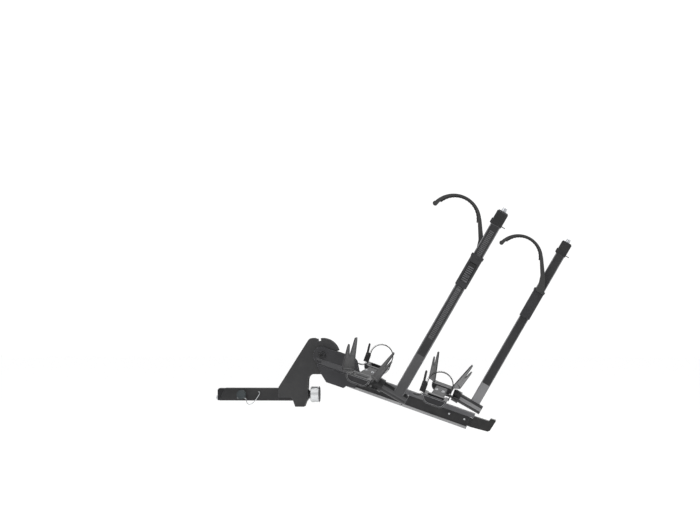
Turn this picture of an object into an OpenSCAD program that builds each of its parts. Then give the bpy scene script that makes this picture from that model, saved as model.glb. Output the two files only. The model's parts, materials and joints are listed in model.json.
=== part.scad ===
// Two-bike platform rack for a 50 mm hitch receiver, tilted down and with both
// wheel arms raised. Origin: centre of the hitch pin hole in the shank.
// +X points away from the car along the shank, +Z up, +Y to the car's right.

/* [Shank and neck] */
// Side of the square shank tube
shank_w = 50.8; // [50:0.1:51]
// Wall of the shank tube
shank_wall = 6; // [4:0.5:8]
// Rear end of the shank, measured from the hitch pin
shank_rear = 269; // [260:1:275]
// Diameter of the hitch pin
pin_d = 15.8; // [12:0.1:16]
// Thickness of each neck plate
neck_t = 6; // [5:0.5:6]
// Radius of the round ear that carries the lock notches
ear_r = 70; // [66:0.5:72]
// Pivot height above the shank axis
pivot_z = 159.5; // [155:0.5:165]
// Pivot distance behind the hitch pin
pivot_x = 328.4; // [322:0.5:335]

/* [Spine] */
// Slope of the raised arms' frame below level in this pose
lean = 30; // [0:1:30]
// Rise of the spine towards its tail when the rack is level
rise = 10.5; // [8:0.5:12]
// Half width of the spine beam
beam_y = 33; // [31:0.5:33]
// Height of the spine beam
beam_h = 58; // [54:1:60]
// Depth of the beam's top face below the pivot line
beam_drop = 26; // [24:1:28]
// Where the beam ends, measured from the pivot
beam_end = 649; // [640:1:655]

/* [Trays] */
// Distance of each tray's centre from the pivot
tray_s = [201, 498]; // [180:1:520]
// Height of each tray's rim above the pivot line
tray_t = [6, 28]; // [0:1:34]
// Width of a tray across its rim
tray_w = 96; // [90:1:100]
// Depth of a tray
tray_d = 32; // [30:1:34]
// Half length of a cross tube
cross_half = 500; // [480:5:505]
// Distance of the front wheel's seat from the spine
wheel_y = 610; // [600:1:630]
// Radius of the largest tyre
tyre_r = 375; // [340:1:380]
// Distance of the rear strap from the spine
strap_y = 640; // [600:1:680]

/* [Arms] */
// Distance of each arm's hinge from the pivot, along the arms' own level frame
arm_u = [356, 640]; // [340:1:660]
// Height of each arm's hinge in the same frame
arm_w = [45, 104]; // [40:1:110]
// Distance of the arm hinge from the spine
arm_y = 550; // [530:1:570]
// Height of an arm above its hinge
arm_h = 810; // [780:1:830]
// Height of each hook carriage's middle above its hinge
hook_h = [548, 507]; // [400:1:600]
// Width of an arm along the hinge
post_u = 41; // [38:0.5:42]
// Depth of an arm across the hinge
post_y = 26; // [24:0.5:26]

/* [Hidden] */
$fn = 48;

half = shank_w / 2;
inner = half - shank_wall;
plate_out = half + neck_t;          // outer face of a neck plate
hub_in = beam_y;                    // inner face of a hub plate
hub_t = 5;
hub_out = hub_in + hub_t;
cover_out = hub_out + 6;
bush_r = 12;
run_gap = 0.06;                     // running clearance on a radius
bolt_gap = 0.1;                     // clearance round the pivot bolt
side_gap = 0.5;                     // clearance beside a sliding piece
spine_tilt = lean - rise;           // slope of the spine below level
notch_angles = [-spine_tilt, rise, 90 + rise];
notch_half = 6.5;                   // half width of a lock notch
notch_deep = 11;
beam_top = -beam_drop;
beam_bottom = beam_top - beam_h;
beam_start = 92;
beam_wall = 5;
rod_t = -55;                        // height of the pull rod in the spine frame
rod_r = 4;
bar_start = ear_r + 0.5;            // lock bar's nose, just clear of the ear
knob_x = 280;
knob_r = 32;
knob_len = 33;
screw_r = 8;
cross_w = 50;
cross_h = 26;
cross_top = -6;                     // cross tube's top below the tray rim
cradle_near = 430;
cradle_far = 740;
rear_far = 760;
wing_lean = 14;                     // each wing leans out from the arms' direction
wing_yaw = 9;                       // and opens towards the tray's end
tube_r = 20;                        // arm hinge tube
tube_in = 98;                       // its inner end, back from the arm
tube_out = 39;
post_mid = -6;                      // arm's middle, outboard of its hinge
cap_h = 62;
carriage_h = 136;
carriage_out = -27;                 // carriage faces across the hinge
carriage_in = 18;
hook_y0 = 10;                       // hook band across the hinge
hook_w = 28;
hook_peak = 242;                    // top of the arch above the carriage's middle
arch_mid = -148;                    // centre of the arch, back from the arm
arch_out = 106;                     // outer radius of the arch
arch_in = 88;                       // radius that clears the tyre
arch_crown = 8;                     // thickness of the arch at its crown
pad_t = 4.5;                        // thickness of its rubber lining
wire_r = 1.6;

// Frames -----------------------------------------------------------------

module at_pivot(angle) {
    translate([pivot_x, 0, pivot_z]) rotate([0, angle, 0]) children();
}

// Spine frame: X along the spine, Z square to it.
module on_spine() at_pivot(spine_tilt) children();

// Level frame: the arms stand along its Z.
module on_level() at_pivot(lean) children();

// Tray 0 has its front wheel on -Y, tray 1 is turned round.
module side(k) mirror([0, k == 0 ? 0 : 1, 0]) children();

module on_tray(k) {
    on_spine() translate([tray_s[k], 0, tray_t[k]]) side(k) children();
}

module on_arm(k) {
    on_level() translate([arm_u[k], 0, arm_w[k]]) side(k)
        translate([0, -arm_y, 0]) children();
}

// Extrudes an X-Z outline from y0 to y1.
module slab(y0, y1) {
    translate([0, y1, 0]) rotate([90, 0, 0]) linear_extrude(y1 - y0) children();
}

// Cylinder along Y from y0 to y1.
module rod_y(r, y0, y1) translate([0, y0, 0]) rotate([-90, 0, 0]) cylinder(r = r, h = y1 - y0);

// Cylinder along X from x0 to x1.
module rod_x(r, x0, x1) translate([x0, 0, 0]) rotate([0, 90, 0]) cylinder(r = r, h = x1 - x0);

module box_at(from, to) translate(from) cube(to - from);

// Rectangle with round corners, given by its low and high corners.
module round_rect(from, to, r) {
    for (x = [from[0] + r, to[0] - r], y = [from[1] + r, to[1] - r])
        translate([x, y]) circle(r);
    translate([from[0] + r, from[1]]) square([to[0] - from[0] - 2 * r, to[1] - from[1]]);
    translate([from[0], from[1] + r]) square([to[0] - from[0], to[1] - from[1] - 2 * r]);
}

// Hitch --------------------------------------------------------------------

tip_top = -68;
tip_bottom = -92;
tip_back = -100;

module shank_tube() color("#2f3032") difference() {
    slab(-half, half) polygon([[tip_top, half], [shank_rear, half], [shank_rear, -half],
        [tip_bottom, -half]]);
    box_at([-120, -inner, -inner], [shank_rear - 6, inner, inner]);
    rod_y(pin_d / 2 + 0.08, -40, 40);
    rod_x(screw_r + run_gap, shank_rear - 10, shank_rear + 10);
}

// Neck plate between y0 and y1: a cranked plate with a round ear.
module neck_plate(y0, y1) difference() {
    union() {
        slab(y0, y1) polygon([[150, -12], [150, 29.6], [270, 219.5], [276, 226.5], [284, 229.5],
            [297, 229.5], [308, 225], [325, 170], [347, 97], [343, 82.5],
            [292, 82.5], [281, 78.5], [274, 70], [271.5, 58], [269, -19], [265, -25.6],
            [256, -50], [218.5, -50], [209.7, -25.6], [203, -12]]);
        translate([pivot_x, 0, pivot_z]) rod_y(ear_r, y0, y1);
    }
    for (a = notch_angles) translate([pivot_x, 0, pivot_z]) rotate([0, -a, 0])
        box_at([ear_r - notch_deep, y0 - 1, -notch_half], [ear_r + 10, y1 + 1, notch_half]);
    translate([pivot_x, 0, pivot_z]) rod_y(screw_r + bolt_gap, y0 - 1, y1 + 1);
}

module neck_plate_left() color("#333436") neck_plate(-plate_out, -half);
module neck_plate_right() color("#333436") neck_plate(half, plate_out);

// Closing plates between the neck plates, down the front and under the heel.
module neck_web() color("#303133") {
    slab(-half, half) polygon([[150, half], [150, 29.6], [268, 216.5], [272.5, 213.5],
        [158, 32], [158, half]]);
    box_at([262.5, -half, half], [268, half, 74]);
    translate([pivot_x, 0, pivot_z]) difference() {
        rod_y(15, -half, half);
        rod_y(screw_r + bolt_gap, -half - 1, half + 1);
    }
}

module knob_boss() color("#1f1f21") difference() {
    union() {
        rod_x(19, shank_rear, shank_rear + 6);
        rod_x(15, shank_rear + 6, knob_x - 0.6);
    }
    rod_x(screw_r + run_gap, shank_rear - 10, knob_x);
}

module pivot_bolt() color("#151516") translate([pivot_x, 0, pivot_z]) difference() {
    union() {
        rod_y(14, -cover_out - 10, -cover_out - 1);
        rod_y(screw_r, -cover_out - 1, cover_out + 16);
    }
    rotate([90, 30, 0]) translate([0, 0, cover_out + 5]) cylinder(r = 7, h = 8, $fn = 6);
}

module pivot_nut() color("#77797c") translate([pivot_x, 0, pivot_z]) difference() {
    union() {
        rod_y(14.5, cover_out + 1, cover_out + 3);
        translate([0, cover_out + 3, 0]) rotate([-90, 0, 0]) cylinder(r = 13.8, h = 10, $fn = 6);
    }
    rod_y(screw_r, 0, 80);
}

module pivot_bushes() color("#b08d57") translate([pivot_x, 0, pivot_z])
    for (m = [0, 1]) mirror([0, m, 0]) difference() {
        union() {
            rod_y(bush_r, plate_out, cover_out + 1);
            rod_y(18, plate_out, hub_in - 0.3);
        }
        rod_y(screw_r, 0, 80);
    }

module knob_grip() color("#b9bbbd") difference() {
    union() {
        rod_x(knob_r - 1.5, knob_x, knob_x + knob_len);
        for (i = [0:35]) rotate([i * 10, 0, 0])
            box_at([knob_x + 2, -1.6, knob_r - 4], [knob_x + knob_len - 2, 1.6, knob_r]);
    }
    rod_x(screw_r + run_gap, knob_x - 1, knob_x + 26);
}

module knob_cap() color("#161617") difference() {
    union() {
        rod_x(knob_r + 0.5, knob_x + knob_len, knob_x + knob_len + 3);
        rod_x(knob_r - 3, knob_x + knob_len + 3, knob_x + knob_len + 5);
    }
    rod_x(9, knob_x + knob_len + 2.5, knob_x + knob_len + 6);
}

// Pulled by the knob. Its flat part passes under the hitch pin.
module draw_bar() color("#85878a") difference() {
    union() {
        rod_x(screw_r, 30, knob_x + 14);
        box_at([-24, -16, -18.5], [34, 16, -9.5]);
        box_at([22, -16, -18.5], [34, 16, 8]);
        translate([0, 0, -14]) rod_x(4, tip_back - 2, -20);
        translate([0, 0, -14]) rod_x(8, tip_back - 7.5, tip_back - 0.5);
    }
    rod_y(pin_d / 2 + 1, -30, 30);
}

// Slides up the slanted end of the shank as the draw bar comes back.
module tip_wedge() color("#4a4c4f") difference() {
    slab(-24, 24) polygon([[tip_top - 0.6, 24.5], [tip_bottom - 0.4, -24.5], [tip_back, -24.5],
        [tip_back, 18], [tip_back + 6, 24.5]]);
    box_at([-120, -4.6, -40], [-40, 4.6, -9.4]);
}

module hitch_pin() color("#3a3b3d") {
    rod_y(pin_d / 2, -46, 58);
    difference() {
        union() {
            rod_y(19, -58, -44);
            rod_y(17, -60, -57.9);
        }
        translate([0, -52, -14]) rod_x(wire_r + 0.1, -30, 30);
    }
    translate([0, 58, 0]) rotate([-90, 0, 0]) cylinder(r1 = pin_d / 2, r2 = 5, h = 6);
}

wire_path = [[-17, -52, -14], [-6, -52, -14], [6, -52, -14], [16, -52, -14], [20, -52, -17],
    [21, -52, -24], [23, -52, -33], [28, -52, -39], [36, -52, -41], [46, -52, -36],
    [56, -52, -26], [64, -52, -14], [71, -52, -4], [76, -52, 4], [75, -52, 10], [70, -52, 12]];

function unit(v) = v / norm(v);
function tangent(p, i) = unit(p[min(i + 1, len(p) - 1)] - p[max(i - 1, 0)]);
function ring(p, i, r, n, up) = let (d = tangent(p, i), a = unit(cross(d, up)), b = cross(a, d))
    [for (j = [0:n - 1]) p[i] + r * (cos(j * 360 / n) * a + sin(j * 360 / n) * b)];

// Sweeps a round section along a list of points.
module sweep(p, r, n, up) {
    points = [for (i = [0:len(p) - 1]) each ring(p, i, r, n, up)];
    last = (len(p) - 1) * n;
    sides = [for (i = [0:len(p) - 2], j = [0:n - 1])
        [i * n + j, i * n + (j + 1) % n, (i + 1) * n + (j + 1) % n, (i + 1) * n + j]];
    polyhedron(points, concat([[for (j = [n - 1:-1:0]) j]], sides,
        [[for (j = [0:n - 1]) last + j]]));
}

module keeper_wire() color("#c9cbce") sweep(wire_path, wire_r, 10, [0, 1, 0]);

// Spine --------------------------------------------------------------------

// Beam section in Y-Z: recessed flanks between two flanges.
module beam_section() difference() {
    union() {
        translate([-beam_y + 3, beam_bottom]) square([2 * beam_y - 6, beam_h]);
        round_rect([-beam_y, beam_top - 11], [beam_y, beam_top], 2);
        round_rect([-beam_y, beam_bottom], [beam_y, beam_bottom + 10], 2);
    }
    translate([-beam_y + 3 + beam_wall, beam_bottom + 8])
        square([2 * (beam_y - 3 - beam_wall), beam_h - 16]);
}

// Extrudes a Y-Z section from x0 to x1.
module along_x(x0, x1) translate([x0, 0, 0]) rotate([90, 0, 90]) linear_extrude(x1 - x0) children();

module spine_beam() color("#2b2c2e") on_spine() along_x(beam_start, beam_end) beam_section();

module hub_plate(y0, y1) difference() {
    union() {
        rod_y(32, y0, y1);
        slab(y0, y1) polygon([[0, 30.5], [118, 30], [150, beam_top], [172, beam_top - 4],
            [172, beam_bottom + 12], [92, beam_bottom + 6], [30, -52], [-6, -24]]);
    }
    rod_y(bush_r + run_gap, y0 - 1, y1 + 1);
}

module hub_plate_left() color("#3c3d40") on_spine() hub_plate(-hub_out, -hub_in);
module hub_plate_right() color("#3c3d40") on_spine() hub_plate(hub_in, hub_out);

// Cheek cover with a long shallow recess and a slot behind the pivot.
module cover_half() difference() {
    union() {
        rod_y(35, -cover_out, -hub_out);
        slab(-cover_out, -hub_out) polygon([[0, 33.5], [122, 35], [140, 24], [158, -6],
            [170, -24], [172, -80], [134, -84], [127, -96], [53, -97], [24, -74], [-10, -38],
            [-12, -20]]);
    }
    rod_y(15.2, -cover_out - 1, -hub_in);
    slab(-cover_out - 1, -cover_out + 1.6) polygon([[-20, -17], [130, -13], [130, -37],
        [6, -41], [-12, -30]]);
    slab(-cover_out - 1, -cover_out + 4) {
        round_rect([-13, -33], [8, -23], 3);
        round_rect([-4, -40], [122, -35], 2);
    }
}

module hub_cover_left() color("#343537") on_spine() cover_half();
module hub_cover_right() color("#343537") on_spine() mirror([0, 1, 0]) cover_half();

module keel_pan() color("#2a2b2d") on_spine()
    slab(-hub_out, hub_out) polygon([[53, -96.5], [127, -95.5], [134, beam_bottom],
        [beam_start, beam_bottom], [66, -88]]);

module top_cover(x0, x1) on_spine() difference() {
    along_x(x0, x1) round_rect([-beam_y - 1.5, beam_top - 9], [beam_y + 1.5, beam_top + 10], 3);
    box_at([x0 - 1, -beam_y - 0.1, beam_top - 10], [x1 + 1, beam_y + 0.1, beam_top]);
}

module top_cover_front() color("#55575a") top_cover(232, 466);
module top_cover_rear() color("#6a6c6f") top_cover(530, 665);

module bottom_strip() color("#77797c") on_spine() for (x = [[136, 370], [373, beam_end]])
    difference() {
        along_x(x[0], x[1]) round_rect([-beam_y - 1.5, beam_bottom - 2],
            [beam_y + 1.5, beam_bottom + 9], 2);
        box_at([x[0] - 1, -beam_y - 0.1, beam_bottom], [x[1] + 1, beam_y + 0.1, beam_bottom + 20]);
    }

module side_screws() color("#d6d8da") on_spine() for (m = [0, 1], x = [565, 630])
    mirror([0, m, 0]) translate([x, 0, -50]) rod_y(4, -beam_y, -beam_y + 3);

// Lifts the outer tray so that the two bikes' bars pass each other.
module riser_block() color("#3a3b3d") on_spine()
    box_at([tray_s[1] - cross_w / 2 - 4, -30, beam_top],
        [tray_s[1] + cross_w / 2 + 4, 30, tray_t[1] + cross_top - cross_h]);

module tray_bolts() color("#9a9c9f") for (k = [0, 1]) on_tray(k) for (y = [-18, 18], x = [-14, 14])
    translate([x, y, cross_top]) {
        cylinder(r = 7, h = 1.6);
        translate([0, 0, 1.6]) cylinder(r = 5.5, h = 4, $fn = 6);
    }

// Release ------------------------------------------------------------------

spring_turns = 7;
spring_from = 99;
spring_to = 138;
spring_path = [for (i = [0:spring_turns * 10]) [
    spring_from + (spring_to - spring_from) * i / (spring_turns * 10),
    8 * cos(i * 36), rod_t + 8 * sin(i * 36)]];

module release_spring() color("#8d8f92") on_spine() sweep(spring_path, 1.1, 8, [1, 0, 0]);

module lock_bar() color("#8a8c8f") on_spine() {
    slab(-plate_out - 1, plate_out + 1) round_rect([bar_start, -6], [bar_start + 12, 6], 1.5);
    box_at([bar_start + 6, -14, rod_t - 10], [bar_start + 14, 14, 5]);
}

module pull_rod() color("#8a8c8f") on_spine() translate([0, 0, rod_t]) {
    rod_x(rod_r, bar_start + 14, 640);
    rod_x(7, bar_start + 14, bar_start + 19);
}

module tilt_handle() color("#121213") on_spine() difference() {
    union() {
        slab(-beam_y, beam_y) polygon([[662, -27], [727, -24.5], [731, -13], [752, -12],
            [753, -16], [743, -60], [735, -66], [662, -72]]);
        box_at([640, -22, beam_bottom + 12], [662.5, 22, beam_top - 12]);
    }
    translate([0, 0, rod_t]) rod_x(rod_r, 630, 641);
}

// Trays ---------------------------------------------------------------------

module cross_tube(k) color("#2c2d2f") on_tray(k) difference() {
    slab(-cross_half, cross_half)
        round_rect([-cross_w / 2, cross_top - cross_h], [cross_w / 2, cross_top], 4);
    box_at([-cross_w / 2 + 2.5, -600, cross_top - cross_h + 2.5],
        [cross_w / 2 - 2.5, 600, cross_top - 2.5]);
}

// End view of a tray: straight rim, round bottom corners.
module tray_outline() polygon([[-tray_w / 2, 0], [2 - tray_w / 2, -12], [7 - tray_w / 2, -21],
    [15 - tray_w / 2, 4 - tray_d], [26 - tray_w / 2, -tray_d], [tray_w / 2 - 22, -tray_d],
    [tray_w / 2 - 12, 4 - tray_d], [tray_w / 2 - 5, -19], [tray_w / 2 - 2, -9], [tray_w / 2, 0]]);

// Pocket that slides over the end of the cross tube.
module tube_pocket(y0, y1) box_at([-cross_w / 2, y0, cross_top - cross_h - 1],
    [cross_w / 2, y1, cross_top]);

module wheel_cradle(k) color("#1d1e20") on_tray(k) difference() {
    slab(-cradle_far, -cradle_near) tray_outline();
    tube_pocket(-cross_half, -cradle_near + 1);
    translate([0, -wheel_y, tyre_r - 24]) rotate([0, 90, 0])
        cylinder(r = tyre_r, h = 66, center = true, $fn = 180);
    box_at([-30, -cradle_far + 8, -29], [30, -cradle_far + 40, -27]);
}

// Two-eared cheek beside the tyre.
module wing_outline() polygon([[-690, -9], [-692, 10], [-672, 88], [-660, 100], [-646, 98],
    [-620, 62], [-596, 66], [-566, 128], [-538, 132], [-528, 120], [-494, 34], [-480, -9]]);

// Turned about the foot of its inner end.
module wing() translate([0, -500, 0]) rotate([0, 0, wing_yaw]) translate([0, 500, 0])
    rotate([0, wing_lean, 0]) translate([-2.5, 0, 0])
        rotate([90, 0, 90]) linear_extrude(5) wing_outline();

module cradle_wings(k) color("#2e2f31") on_tray(k) difference() {
    rotate([0, rise / 2, 0]) union() {
        translate([39.5, 0, 2]) wing();
        mirror([1, 0, 0]) translate([39.5, 0, -6]) wing();
    }
    box_at([-120, -760, -90], [120, -400, 0]);
}

module rear_tray(k) color("#232426") on_tray(k) difference() {
    slab(cradle_near, rear_far) tray_outline();
    tube_pocket(cradle_near - 1, cross_half);
    slab(cradle_near - 1, rear_far - 12) polygon([[-37, 1], [-33, -3], [33, -3], [37, 1]]);
    slab(cross_half + 14, rear_far - 12) polygon([[-36, 1], [-26, -18], [26, -18], [36, 1]]);
}

strap_r = 50;
strap_mid = 46;

// Ladder strap bowed over the channel, its tail standing out of the buckle.
module strap(k) color("#202123") on_tray(k) slab(strap_y - 12, strap_y + 12) {
    difference() {
        translate([0, strap_mid]) circle(strap_r + 1.6, $fn = 96);
        translate([0, strap_mid]) circle(strap_r - 1.6, $fn = 96);
        translate([-70, -60]) square([140, strap_mid + 60]);
    }
    translate([strap_r - 1.6, -2]) square([3.2, strap_mid + 2]);
    translate([-strap_r - 1.6, 8]) square([3.2, strap_mid - 8]);
    difference() {
        translate([-strap_r - 26, 8]) circle(26 + 1.6, $fn = 64);
        translate([-strap_r - 26, 8]) circle(26 - 1.6, $fn = 64);
        translate([-140, 8]) square([160, 60]);
        translate([-140, -60]) square([90 - 26 - 12, 120]);
    }
}

module buckle_base(k) color("#17181a") on_tray(k) difference() {
    union() {
        box_at([-62, strap_y - 17, 0], [-44, strap_y + 17, 6]);
        for (y = [-17, 13.2]) slab(strap_y + y, strap_y + y + 3.8)
            polygon([[-66, 0], [-44, 0], [-44, 34], [-52, 42], [-66, 40]]);
    }
    box_at([-56, strap_y - 12.6, -1], [-46, strap_y + 12.6, 60]);
    translate([-60, 0, 32]) rod_y(2.5 + run_gap, strap_y - 20, strap_y + 20);
}

module buckle_lever(k) color("#2a2b2d") on_tray(k) translate([-60, strap_y, 32]) {
    rod_y(2.5, -17, 17);
    rod_y(5, -12.4, 12.4);
    slab(-12.4, 12.4) polygon([[-3, 4], [4.5, 2], [3, 14], [-1, 46], [-6, 50], [-9, 46], [-6, 14]]);
}

module arm_socket(k) color("#29292b") {
    plate_t = tray_t[k] + cross_top - cross_h;
    difference() {
        union() {
            on_spine() side(k) {
                box_at([tray_s[k] - 30, -arm_y - 30, plate_t - 5],
                    [tray_s[k] + 76, -cradle_near - 12, plate_t]);
                box_at([tray_s[k] + 52, -arm_y - 22, plate_t - 5],
                    [tray_s[k] + 72, -arm_y + 22, plate_t + 30]);
            }
            on_arm(k) rod_x(26, -tube_in + 1, -66);
        }
        on_arm(k) rod_x(tube_r + run_gap, -tube_in - 30, 0);
    }
}

// Arms -----------------------------------------------------------------------

rack_pitch = 7;
rack_from = 250;
rack_teeth = 68;

module arm_post(k) color("#2d2e30") on_arm(k) difference() {
    union() {
        rod_x(tube_r, -tube_in, tube_out);
        translate([0, post_mid, 0]) linear_extrude(arm_h - cap_h)
            round_rect([-post_u / 2, -post_y / 2], [post_u / 2, post_y / 2], 5);
        for (i = [0:rack_teeth - 1]) translate([0, post_mid - post_y / 2, rack_from + i * rack_pitch])
            box_at([-9, -1.6, 0], [9, 1, 3.6]);
    }
    rod_x(tube_r - 3, -tube_in - 1, tube_out + 1);
    translate([0, post_mid, 40]) linear_extrude(arm_h)
        square([post_u - 5, post_y - 5], center = true);
}

module arm_cap(k) color("#1b1c1e") on_arm(k) translate([0, post_mid, arm_h - cap_h]) difference() {
    union() {
        linear_extrude(cap_h - 4) round_rect([-23, -14.5], [23, 14.5], 5);
        linear_extrude(cap_h) round_rect([-20, -12], [20, 12], 4);
        translate([0, 0, 8]) rod_x(1.8, 20, 38);
        box_at([-27, -6, 2], [-22, 6, 22]);
    }
    translate([0, 0, cap_h - 20]) cylinder(r = 9 + run_gap, h = 30);
}

module lock_plug(k) color("#7d7f82") on_arm(k) translate([0, post_mid, arm_h - 20]) difference() {
    union() {
        translate([0, 0, 0.5]) cylinder(r = 9, h = 34);
        translate([0, 0, 22]) cylinder(r = 10.5, h = 3);
    }
    box_at([-4, -1, 30], [4, 1, 40]);
}

// Frame of a hook carriage, at its middle height on the arm.
module on_carriage(k) on_arm(k) translate([0, 0, hook_h[k]]) children();

module hook_carriage(k) color("#242527") on_carriage(k) difference() {
    union() {
        translate([0, 0, -carriage_h / 2]) linear_extrude(carriage_h)
            round_rect([-24, carriage_out], [24, carriage_in], 5);
        translate([0, 0, carriage_h / 2 - 12]) linear_extrude(12)
            round_rect([-26, carriage_out - 2], [26, carriage_in], 5);
    }
    translate([0, post_mid, -100]) linear_extrude(200)
        square([post_u + 2 * side_gap, post_y + 2 * side_gap], center = true);
    box_at([-10, post_mid - post_y / 2 - 2.4, -100], [10, post_mid, 100]);
    box_at([-15, carriage_out - 4, 16], [15, carriage_out + 4, 34]);
    box_at([-15, carriage_out - 4, -48], [15, post_mid, 16]);
    translate([0, carriage_out + 3, 28]) rod_x(2.5 + run_gap, -19, 19);
}

module release_lever(k) color("#313235") on_carriage(k) difference() {
    union() {
        box_at([-14, carriage_out - 2.5, -46], [14, carriage_out + 1, 31]);
        translate([0, carriage_out + 3, 28]) {
            rod_x(2.5, -18.5, 18.5);
            box_at([-13, -4, -2.4], [13, 0.8, 2.4]);
        }
        for (i = [0:7]) box_at([-12, carriage_out - 4.5, -43 + i * 8], [12, carriage_out - 1, -39 + i * 8]);
    }
}

module arch_disc(r, drop, y0, y1)
    translate([arch_mid, 0, hook_peak - drop - r]) rod_y(r, y0, y1);

// Arch over the tyre, thin at its crown, with a broad strut to the carriage.
module wheel_hook(k) color("#28292b") on_carriage(k) difference() {
    union() {
        difference() {
            arch_disc(arch_out, 0, hook_y0, hook_y0 + hook_w);
            box_at([-270, 0, 0], [arch_mid, 100, 158]);
            box_at([arch_mid - 1, 0, 0], [0, 100, 192]);
        }
        slab(hook_y0, hook_y0 + hook_w) polygon([[-80, 207], [-71, 207], [-58, 194], [-8, 124],
            [20, 70], [20, 56], [-16, 56], [-16, 78], [-30, 122], [-74, 192]]);
        translate([-244, 0, 161]) rod_y(9.5, hook_y0, hook_y0 + hook_w);
    }
    arch_disc(arch_in, arch_crown, 0, 100);
    box_at([-40, hook_y0 - 1, 0], [40, carriage_in, carriage_h / 2]);
}

module hook_pad(k) color("#101011") on_carriage(k) difference() {
    arch_disc(arch_in - 0.02, arch_crown + 0.02, hook_y0 + 3, hook_y0 + hook_w - 3);
    arch_disc(arch_in - pad_t, arch_crown + pad_t, 0, 100);
    box_at([-270, 0, 0], [30, 100, 176]);
}

shank_tube();
neck_plate_left();
neck_plate_right();
neck_web();
knob_boss();
pivot_bolt();
pivot_nut();
pivot_bushes();
knob_grip();
knob_cap();
draw_bar();
tip_wedge();
hitch_pin();
keeper_wire();
spine_beam();
hub_plate_left();
hub_plate_right();
hub_cover_left();
hub_cover_right();
keel_pan();
top_cover_front();
top_cover_rear();
bottom_strip();
side_screws();
riser_block();
tray_bolts();
release_spring();
tilt_handle();
pull_rod();
lock_bar();
cross_tube(0);  // cross_tube_1
cross_tube(1);  // cross_tube_2
wheel_cradle(0);  // wheel_cradle_1
wheel_cradle(1);  // wheel_cradle_2
cradle_wings(0);  // cradle_wings_1
cradle_wings(1);  // cradle_wings_2
rear_tray(0);  // rear_tray_1
rear_tray(1);  // rear_tray_2
strap(0);  // strap_1
strap(1);  // strap_2
buckle_base(0);  // buckle_base_1
buckle_base(1);  // buckle_base_2
buckle_lever(0);  // buckle_lever_1
buckle_lever(1);  // buckle_lever_2
arm_socket(0);  // arm_socket_1
arm_socket(1);  // arm_socket_2
arm_post(0);  // arm_post_1
arm_post(1);  // arm_post_2
arm_cap(0);  // arm_cap_1
arm_cap(1);  // arm_cap_2
lock_plug(0);  // lock_plug_1
lock_plug(1);  // lock_plug_2
hook_carriage(0);  // hook_carriage_1
hook_carriage(1);  // hook_carriage_2
wheel_hook(0);  // wheel_hook_1
wheel_hook(1);  // wheel_hook_2
hook_pad(0);  // hook_pad_1
hook_pad(1);  // hook_pad_2
release_lever(0);  // release_lever_1
release_lever(1);  // release_lever_2
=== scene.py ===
"""Detailed meshes, finishes and studio for a hitch mounted two-bike platform rack.

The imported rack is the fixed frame. Every piece takes its place from that frame: the pivot,
the slope of the spine and the arms' hinges are read from the joints. Sizes inside a piece are
in millimetres, and each mesh is scaled to metres when it is finished.
"""

import json
import logging
import math
from collections.abc import Callable, Iterable, Sequence
from dataclasses import dataclass, field
from enum import Enum

import bmesh
import bpy
from mathutils import Matrix, Vector


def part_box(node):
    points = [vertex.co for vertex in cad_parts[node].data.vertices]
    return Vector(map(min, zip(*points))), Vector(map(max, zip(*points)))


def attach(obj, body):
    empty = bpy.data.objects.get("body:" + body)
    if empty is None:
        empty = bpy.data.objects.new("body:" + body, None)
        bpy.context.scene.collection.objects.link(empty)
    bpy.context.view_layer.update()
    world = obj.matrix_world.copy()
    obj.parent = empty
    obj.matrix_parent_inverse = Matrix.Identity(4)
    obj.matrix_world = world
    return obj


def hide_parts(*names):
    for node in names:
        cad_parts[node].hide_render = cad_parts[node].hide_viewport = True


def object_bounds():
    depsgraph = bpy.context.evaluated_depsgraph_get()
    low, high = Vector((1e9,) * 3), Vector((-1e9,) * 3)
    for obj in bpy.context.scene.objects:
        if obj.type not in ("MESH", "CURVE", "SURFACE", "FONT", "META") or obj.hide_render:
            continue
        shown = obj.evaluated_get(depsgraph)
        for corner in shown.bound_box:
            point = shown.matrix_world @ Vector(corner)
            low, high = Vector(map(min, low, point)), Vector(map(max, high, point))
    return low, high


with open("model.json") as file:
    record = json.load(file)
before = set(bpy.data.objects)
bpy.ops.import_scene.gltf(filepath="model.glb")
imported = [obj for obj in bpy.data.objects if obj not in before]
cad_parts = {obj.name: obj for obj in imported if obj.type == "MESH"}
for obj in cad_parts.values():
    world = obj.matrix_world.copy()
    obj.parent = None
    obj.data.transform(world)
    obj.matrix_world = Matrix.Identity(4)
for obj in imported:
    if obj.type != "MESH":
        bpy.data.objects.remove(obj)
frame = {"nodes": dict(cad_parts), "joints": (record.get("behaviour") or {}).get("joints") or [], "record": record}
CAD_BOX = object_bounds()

log = logging.getLogger("rack")
MM = 0.001
Colour = tuple[float, float, float]
Point = Sequence[float]


def joint(name: str) -> dict:
    """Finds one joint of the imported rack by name."""
    return next(j for j in frame["joints"] if j["name"] == name)


def frame_at(place: Point, along: Point, mirrored: bool = False) -> Matrix:
    """Makes the matrix of a sloping frame whose Y stays level.

    Args:
        place: the frame's origin, in metres.
        along: direction of its X axis.
        mirrored: whether its Y points to -Y.

    Returns:
        The matrix from the frame, in metres, to the rack.
    """
    x_axis = Vector(along).normalized()
    y_axis = Vector((0.0, 1.0, 0.0))
    z_axis = x_axis.cross(y_axis)
    if mirrored:
        y_axis = -y_axis
    turn = Matrix((x_axis, y_axis, z_axis)).transposed().to_4x4()
    return Matrix.Translation(Vector(place)) @ turn


SPINE_ALONG = Vector(joint("release_pull")["axis"])
LEVEL_ALONG = Vector(joint("arm_2_fold")["axis"])
PIVOT = Vector(joint("rack_tilt")["pos_m"])
SPINE_FRAME = frame_at(PIVOT, SPINE_ALONG)
SPINE_SLOPE = math.atan2(-SPINE_ALONG.z, SPINE_ALONG.x)
LEVEL_SLOPE = math.atan2(-LEVEL_ALONG.z, LEVEL_ALONG.x)


# Node wiring ---------------------------------------------------------------------------------


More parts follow.
